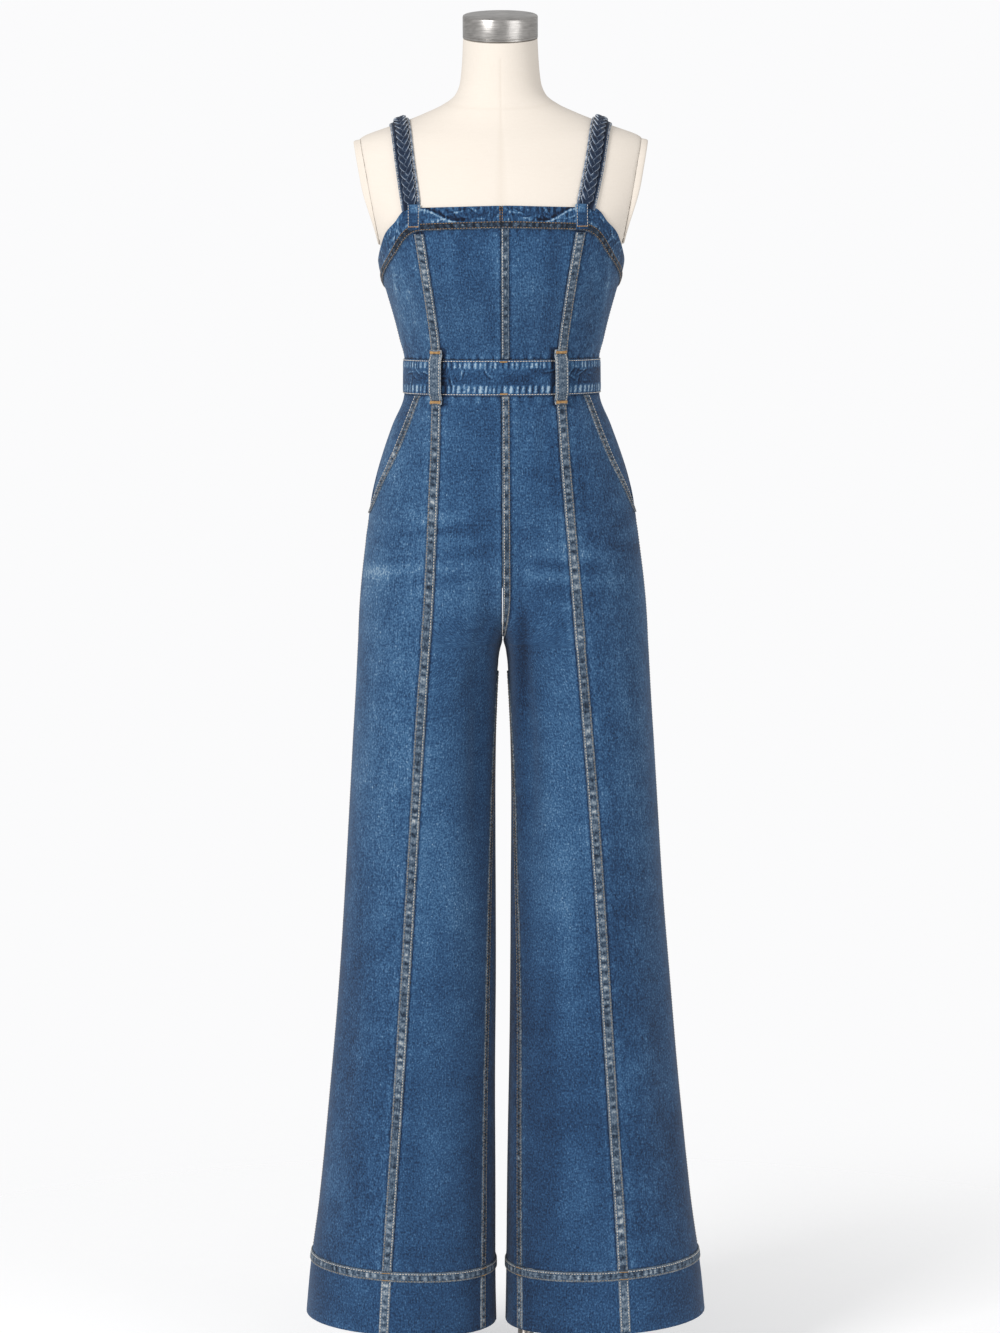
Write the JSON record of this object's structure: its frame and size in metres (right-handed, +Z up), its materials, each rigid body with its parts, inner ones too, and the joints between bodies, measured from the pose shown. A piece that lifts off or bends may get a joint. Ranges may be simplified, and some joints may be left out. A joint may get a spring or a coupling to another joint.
{
  "type": "denim jumpsuit on a dress form",
  "caption": "Sleeveless wide-leg denim jumpsuit with braided shoulder straps, a fitted seamed bodice, a waistband with belt loops and deep hem bands, worn on a limbless dress form with a steel stand.",
  "frame": {"origin": "on the floor, under the middle of the whole part; the base plate lies on the floor", "axes": "+Z up, front faces -Y, the wearer's left is +X"},
  "size_m": [0.4978, 0.33, 1.7004],
  "materials": {
    "denim": "mid-blue washed cotton twill with soft fades",
    "denim_seam": "felled seams worn pale at their ridges, with tan stitching",
    "denim_braid": "dark denim strips, braided, with pale folded edges",
    "linen": "cream linen stretched over the dress form",
    "steel": "brushed",
    "zip_metal": "aged brass"
  },
  "bodies": {
    "jumpsuit_and_form": {"trouser_front_left": "denim", "trouser_front_right": "denim", "trouser_side_left": "denim", "trouser_side_right": "denim", "trouser_back_left": "denim", "trouser_back_right": "denim", "pocket_facing_left": "denim", "pocket_facing_right": "denim", "hem_band_left": "denim", "hem_band_right": "denim", "bodice_front_left": "denim", "bodice_front_right": "denim", "bodice_side_front_left": "denim", "bodice_side_front_right": "denim", "bodice_side_back_left": "denim", "bodice_side_back_right": "denim", "bodice_back_left": "denim", "bodice_back_right": "denim", "top_band_front_left": "denim", "top_band_front_right": "denim", "top_band_back_left": "denim", "top_band_back_right": "denim", "waistband": "denim", "front_leg_seam_left": "denim_seam", "front_leg_seam_right": "denim_seam", "pocket_hem_left": "denim_seam", "pocket_hem_right": "denim_seam", "inseam_strip_left": "denim_seam", "inseam_strip_right": "denim_seam", "fly_strip": "denim_seam", "hem_strip_left": "denim_seam", "hem_strip_right": "denim_seam", "hem_seam_left": "denim_seam", "hem_seam_right": "denim_seam", "hem_inseam_left": "denim_seam", "hem_inseam_right": "denim_seam", "band_strip_left": "denim_seam", "band_strip_right": "denim_seam", "bodice_seam_left": "denim_seam", "bodice_seam_right": "denim_seam", "bodice_centre_seam": "denim_seam", "belt_loop_front_left": "denim_seam", "belt_loop_front_right": "denim_seam", "belt_loop_back_left": "denim_seam", "belt_loop_back_right": "denim_seam", "strap_left": "denim_braid", "strap_right": "denim_braid", "braid_left": "denim_braid", "braid_right": "denim_braid", "zip_slider": "zip_metal", "form_torso": "linen", "arm_plate_left": "linen", "arm_plate_right": "linen", "neck_cap": "steel", "form_flange": "steel", "pole": "steel", "base_collar": "steel", "base_plate": "steel"},
    "zip_tab": {"zip_pull": "zip_metal"}
  },
  "joints": [
    {"name": "zip_tab_swing", "type": "hinge", "parent": "jumpsuit_and_form", "child": "zip_tab", "pos_m": [0, 0.1016, 1.378], "axis": [1, 0, 0], "range_deg": [-8, 150]}
  ]
}
